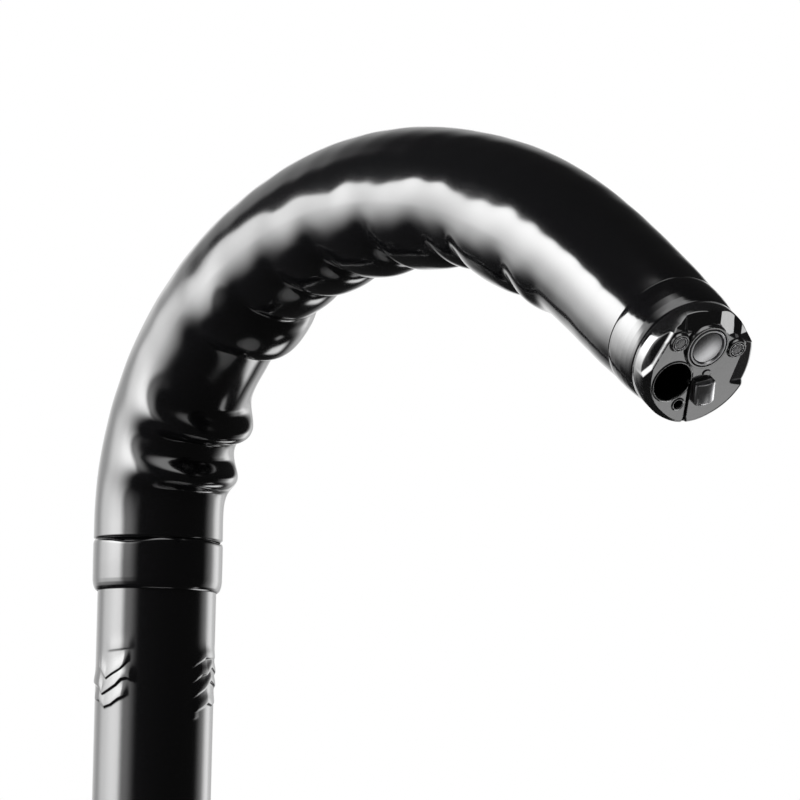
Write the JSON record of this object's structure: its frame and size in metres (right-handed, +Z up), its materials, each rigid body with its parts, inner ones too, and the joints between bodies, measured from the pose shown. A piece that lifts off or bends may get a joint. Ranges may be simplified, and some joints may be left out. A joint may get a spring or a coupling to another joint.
{
  "type": "flexible endoscope distal end",
  "caption": "Steerable distal end of a flexible endoscope: short insertion tube, curled bending section of hinged rings under black rubber, and hard tip with lens, lights, channel and nozzle.",
  "frame": {"origin": "centre of the insertion tube's cut end, on the face of its end ferrule", "axes": "+Z runs up the insertion tube, +X points to the inside of the curl, +Y completes the frame and is the axis of the up-down hinges"},
  "size_m": [0.0867, 0.013, 0.0697],
  "materials": {
    "skin": "smooth, glossy, black",
    "rubber": "smooth, very glossy, black",
    "binding": "thread sealed under glossy black resin",
    "braid": "fine woven wire",
    "spring": "bright spring strip",
    "ferrule": "turned, satin",
    "ring": "pressed, satin",
    "wire": "stranded, bright",
    "tip_body": "turned, satin",
    "tip_cover": "moulded, glossy, dark grey",
    "pipe": "drawn tube, satin",
    "nozzle": "polished",
    "lens": "polished and coated",
    "sensor": "black package",
    "core_tube": "smooth white polymer",
    "bundle": "grey sheath",
    "cable": "black sheath"
  },
  "bodies": {
    "shaft": {"insertion_tube_skin": "skin", "insertion_tube_braid": "braid", "flex_spiral_outer": "spring", "flex_spiral_inner": "spring", "end_ferrule": "ferrule", "joint_sleeve": "ferrule", "proximal_collar": "binding", "coil_pipe_up": "spring", "coil_pipe_down": "spring", "coil_pipe_left": "spring", "coil_pipe_right": "spring", "base_ring": "ring", "bending_rubber": "rubber", "bending_braid": "braid", "instrument_channel": "core_tube", "air_tube": "core_tube", "water_tube": "core_tube", "water_jet_tube": "core_tube", "light_bundle_left": "bundle", "light_bundle_right": "bundle", "image_cable": "cable", "pull_wire_up": "wire", "pull_wire_down": "wire", "pull_wire_left": "wire", "pull_wire_right": "wire"},
    "link_01": {"ring_01": "ring"},
    "link_02": {"ring_02": "ring"},
    "link_03": {"ring_03": "ring"},
    "link_04": {"ring_04": "ring"},
    "link_05": {"ring_05": "ring"},
    "link_06": {"ring_06": "ring"},
    "link_07": {"ring_07": "ring"},
    "link_08": {"ring_08": "ring"},
    "link_09": {"ring_09": "ring"},
    "link_10": {"ring_10": "ring"},
    "link_11": {"ring_11": "ring"},
    "link_12": {"ring_12": "ring"},
    "link_13": {"ring_13": "ring"},
    "link_14": {"ring_14": "ring"},
    "link_15": {"ring_15": "ring"},
    "link_16": {"ring_16": "ring"},
    "tip": {"distal_ring": "ring", "tip_body": "tip_body", "tip_cover": "tip_cover", "distal_band": "binding", "objective_lens": "lens", "lens_barrel": "pipe", "rear_lens": "lens", "image_sensor": "sensor", "light_guide_lens_left": "lens", "light_guide_lens_right": "lens", "air_water_nozzle": "nozzle", "channel_pipe": "pipe", "water_jet_pipe": "pipe", "air_pipe": "pipe", "water_pipe": "pipe"}
  },
  "joints": [
    {"name": "bend_up_down_01", "type": "hinge", "parent": "shaft", "child": "link_01", "pos_m": [0, 0, 0.04041], "axis": [0, 1, 0], "range_deg": [-57.64, 10.64], "deforming": ["bending_rubber", "bending_braid", "instrument_channel", "air_tube", "water_tube", "water_jet_tube", "light_bundle_left", "light_bundle_right", "image_cable", "pull_wire_up", "pull_wire_down", "pull_wire_left", "pull_wire_right"]},
    {"name": "bend_left_right_01", "type": "hinge", "parent": "link_01", "child": "link_02", "pos_m": [0.00188, 0, 0.04473], "axis": [0.9171, 0, -0.3987], "range_deg": [-20, 20]},
    {"name": "bend_up_down_02", "type": "hinge", "parent": "link_02", "child": "link_03", "pos_m": [0.00376, 0, 0.04905], "axis": [0, 1, 0], "range_deg": [-49.8, 9.21]},
    {"name": "bend_left_right_02", "type": "hinge", "parent": "link_03", "child": "link_04", "pos_m": [0.00702, 0, 0.05245], "axis": [0.7218, 0, -0.6921], "range_deg": [-20.1, 20.1]},
    {"name": "bend_up_down_03", "type": "hinge", "parent": "link_04", "child": "link_05", "pos_m": [0.01028, 0, 0.05585], "axis": [0, 1, 0], "range_deg": [-40.48, 7.49]},
    {"name": "bend_left_right_03", "type": "hinge", "parent": "link_05", "child": "link_06", "pos_m": [0.01437, 0, 0.05818], "axis": [0.4955, 0, -0.8686], "range_deg": [-20.1, 20.1]},
    {"name": "bend_up_down_04", "type": "hinge", "parent": "link_06", "child": "link_07", "pos_m": [0.01846, 0, 0.06051], "axis": [0, 1, 0], "range_deg": [-29.94, 5.54]},
    {"name": "bend_left_right_04", "type": "hinge", "parent": "link_07", "child": "link_08", "pos_m": [0.02295, 0, 0.06193], "axis": [0.3007, 0, -0.9537], "range_deg": [-20.1, 20.1]},
    {"name": "bend_up_down_05", "type": "hinge", "parent": "link_08", "child": "link_09", "pos_m": [0.02744, 0, 0.06335], "axis": [0, 1, 0], "range_deg": [-31.65, 5.86]},
    {"name": "bend_left_right_05", "type": "hinge", "parent": "link_09", "child": "link_10", "pos_m": [0.03214, 0, 0.06373], "axis": [0.0802, 0, -0.9968], "range_deg": [-20.1, 20.1]},
    {"name": "bend_up_down_06", "type": "hinge", "parent": "link_10", "child": "link_11", "pos_m": [0.03683, 0, 0.0641], "axis": [0, 1, 0], "range_deg": [-27.98, 5.18]},
    {"name": "bend_left_right_06", "type": "hinge", "parent": "link_11", "child": "link_12", "pos_m": [0.04151, 0, 0.06355], "axis": [-0.1184, 0, -0.993], "range_deg": [-20.1, 20.1]},
    {"name": "bend_up_down_07", "type": "hinge", "parent": "link_12", "child": "link_13", "pos_m": [0.04619, 0, 0.06299], "axis": [0, 1, 0], "range_deg": [-22.58, 4.18]},
    {"name": "bend_left_right_07", "type": "hinge", "parent": "link_13", "child": "link_14", "pos_m": [0.05071, 0, 0.06169], "axis": [-0.2756, 0, -0.9613], "range_deg": [-20.1, 20.1]},
    {"name": "bend_up_down_08", "type": "hinge", "parent": "link_14", "child": "link_15", "pos_m": [0.05524, 0, 0.06039], "axis": [0, 1, 0], "range_deg": [-30.92, 5.72]},
    {"name": "bend_left_right_08", "type": "hinge", "parent": "link_15", "child": "link_16", "pos_m": [0.05938, 0, 0.05814], "axis": [-0.4787, 0, -0.878], "range_deg": [-20.1, 20.1]},
    {"name": "bend_up_down_09", "type": "hinge", "parent": "link_16", "child": "tip", "pos_m": [0.06351, 0, 0.05588], "axis": [0, 1, 0], "range_deg": [-13.01, 2.41]}
  ],
  "couplings": [
    {"joint": "bend_up_down_02", "follows": "bend_up_down_01", "ratio": 0.8638},
    {"joint": "bend_left_right_02", "follows": "bend_left_right_01", "ratio": 1},
    {"joint": "bend_up_down_03", "follows": "bend_up_down_01", "ratio": 0.7021},
    {"joint": "bend_left_right_03", "follows": "bend_left_right_01", "ratio": 1},
    {"joint": "bend_up_down_04", "follows": "bend_up_down_01", "ratio": 0.5191},
    {"joint": "bend_left_right_04", "follows": "bend_left_right_01", "ratio": 1},
    {"joint": "bend_up_down_05", "follows": "bend_up_down_01", "ratio": 0.5489},
    {"joint": "bend_left_right_05", "follows": "bend_left_right_01", "ratio": 1},
    {"joint": "bend_up_down_06", "follows": "bend_up_down_01", "ratio": 0.4851},
    {"joint": "bend_left_right_06", "follows": "bend_left_right_01", "ratio": 1},
    {"joint": "bend_up_down_07", "follows": "bend_up_down_01", "ratio": 0.3915},
    {"joint": "bend_left_right_07", "follows": "bend_left_right_01", "ratio": 1},
    {"joint": "bend_up_down_08", "follows": "bend_up_down_01", "ratio": 0.5362},
    {"joint": "bend_left_right_08", "follows": "bend_left_right_01", "ratio": 1},
    {"joint": "bend_up_down_09", "follows": "bend_up_down_01", "ratio": 0.2255}
  ]
}
